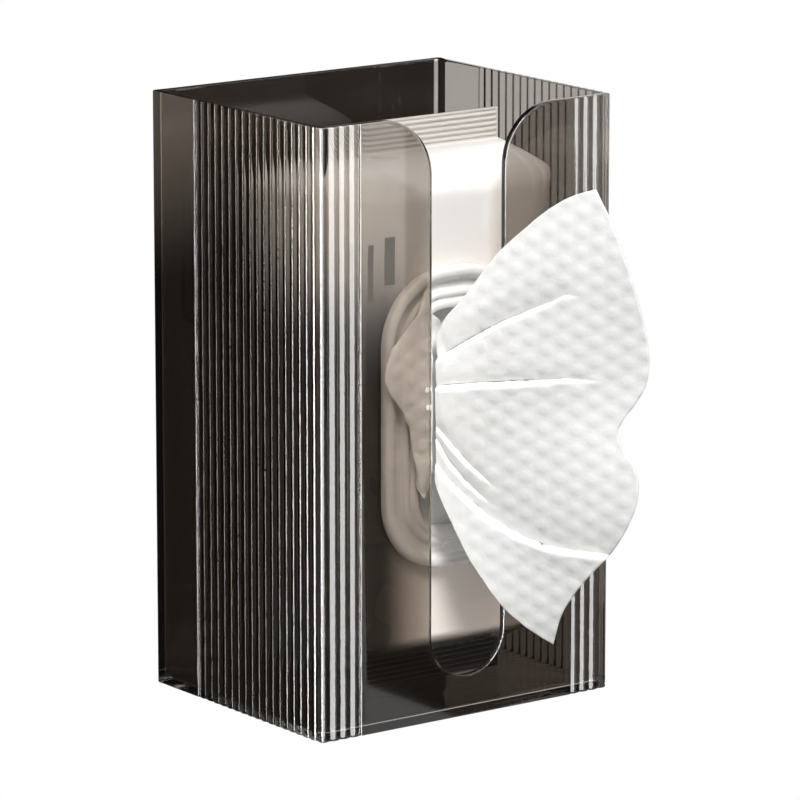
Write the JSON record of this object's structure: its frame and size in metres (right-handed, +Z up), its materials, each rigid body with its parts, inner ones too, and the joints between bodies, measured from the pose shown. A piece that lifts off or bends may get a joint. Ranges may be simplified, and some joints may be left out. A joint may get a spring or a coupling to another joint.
{
  "type": "wall-mounted wipes dispenser",
  "caption": "Clear fluted box that hangs on a wall plate, with a soft pack of wipes standing inside and one wipe pulled out through the front slot.",
  "frame": {"origin": "middle of the adhesive pad's face on the wall", "axes": "+X right seen from the front, +Y into the wall, +Z up"},
  "size_m": [0.12, 0.1631, 0.205],
  "materials": {
    "smoke_plastic": "polished clear smoke plastic",
    "plate_plastic": "moulded, satin black",
    "foam_pad": "soft foam",
    "pearl_film": "pearly film",
    "white_plastic": "moulded, glossy",
    "wipe_cloth": "embossed non-woven"
  },
  "bodies": {
    "wall_mount": {"wall_plate": "plate_plastic", "adhesive_pad": "foam_pad"},
    "box": {"housing": "smoke_plastic", "hanger_channel": "smoke_plastic"},
    "refill": {"refill_pouch": "pearl_film", "opening_frame": "white_plastic", "wipe_stack": "wipe_cloth", "next_wipe": "wipe_cloth"},
    "pulled_wipe": {"leading_wipe": "wipe_cloth"}
  },
  "joints": [
    {"name": "housing_lift", "type": "slide", "parent": "wall_mount", "child": "box", "axis": [0, 0, 1], "range_m": [0, 0.042]},
    {"name": "refill_lift", "type": "slide", "parent": "box", "child": "refill", "axis": [0, 0, 1], "range_m": [0, 0.205]},
    {"name": "wipe_pull", "type": "slide", "parent": "refill", "child": "pulled_wipe", "axis": [0, -1, 0], "range_m": [0, 0.06]}
  ]
}
